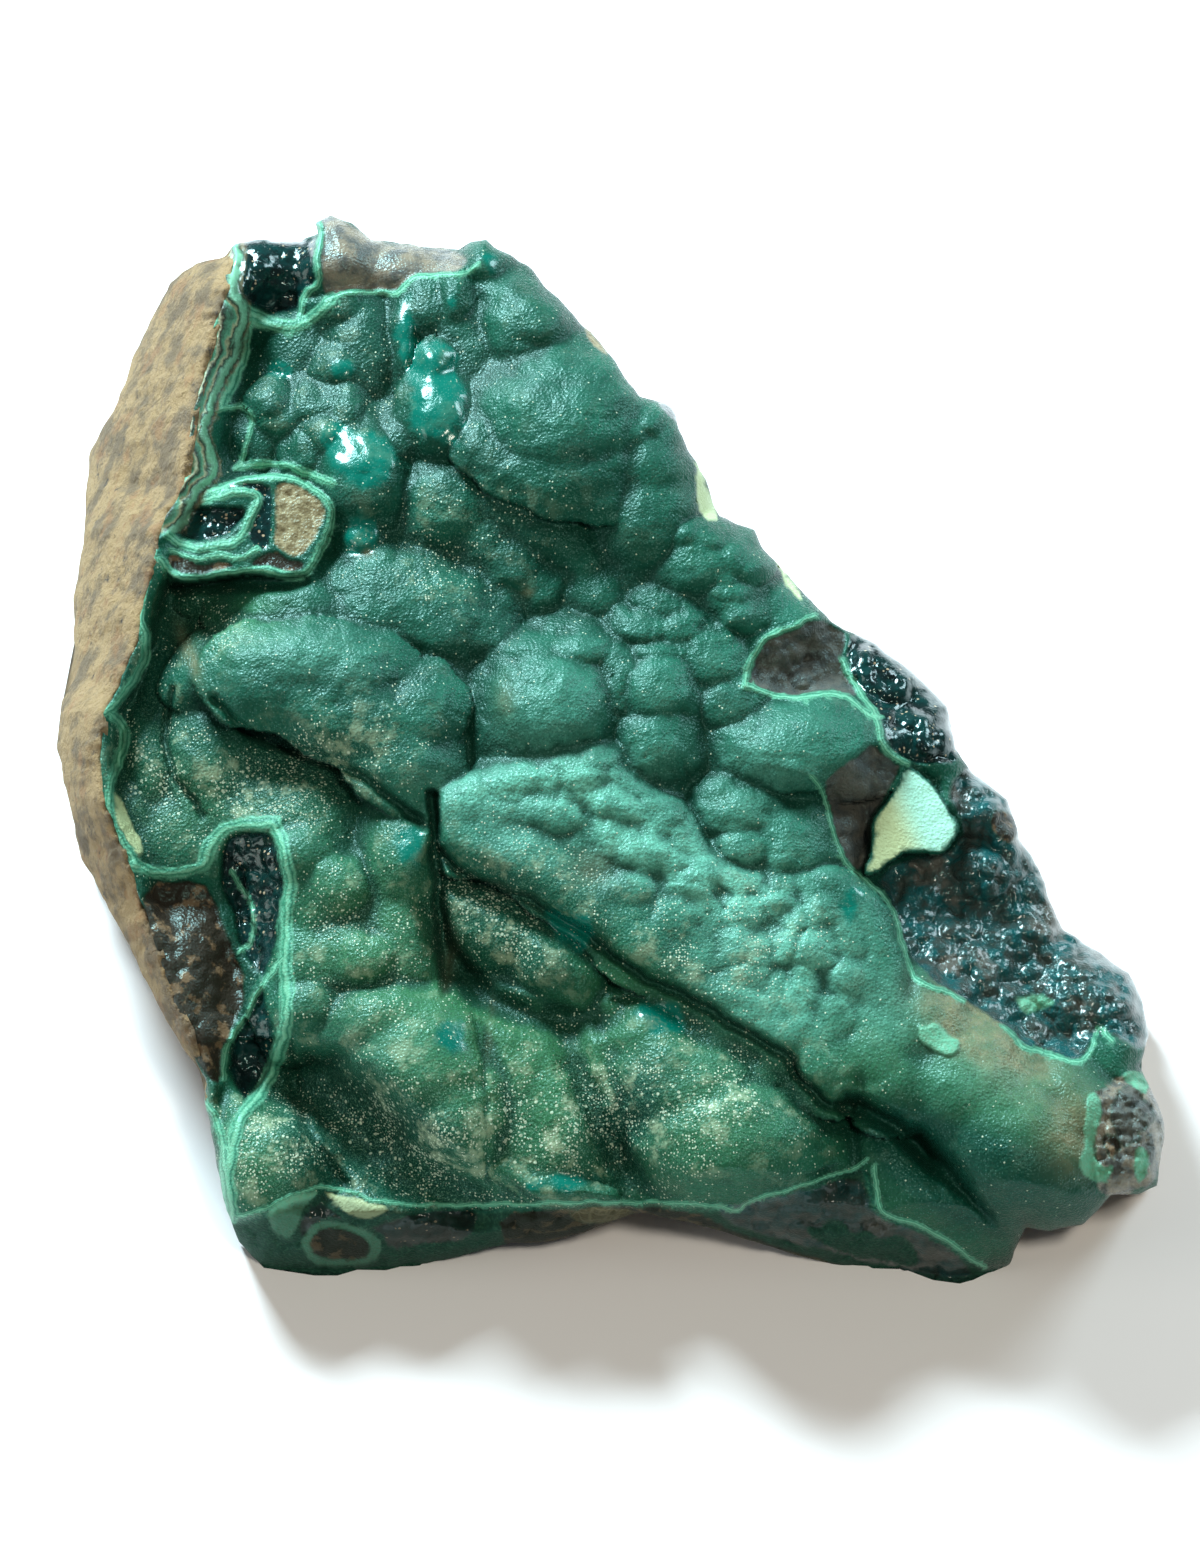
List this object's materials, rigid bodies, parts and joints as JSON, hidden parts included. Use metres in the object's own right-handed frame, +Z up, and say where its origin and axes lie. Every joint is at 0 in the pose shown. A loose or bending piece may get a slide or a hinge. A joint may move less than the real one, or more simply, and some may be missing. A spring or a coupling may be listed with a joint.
{
  "type": "malachite specimen",
  "caption": "Cabinet specimen of botryoidal malachite: a sloping lobed green face with a banded rim, on buff host rock, lying on its flat underside.",
  "frame": {"origin": "middle of the flat underside that the specimen lies on", "axes": "+Z up, -Y towards the low front rim, +X along the width to the drawn-out arm"},
  "size_m": [0.2937, 0.28, 0.1187],
  "materials": {
    "malachite": "satin to glossy deep green crust with mint-green banded edges and pale mineral dust",
    "host_rock": "matte buff rock with dark specks"
  },
  "bodies": {
    "root": {"malachite": "malachite", "host_rock": "host_rock"}
  },
  "joints": []
}
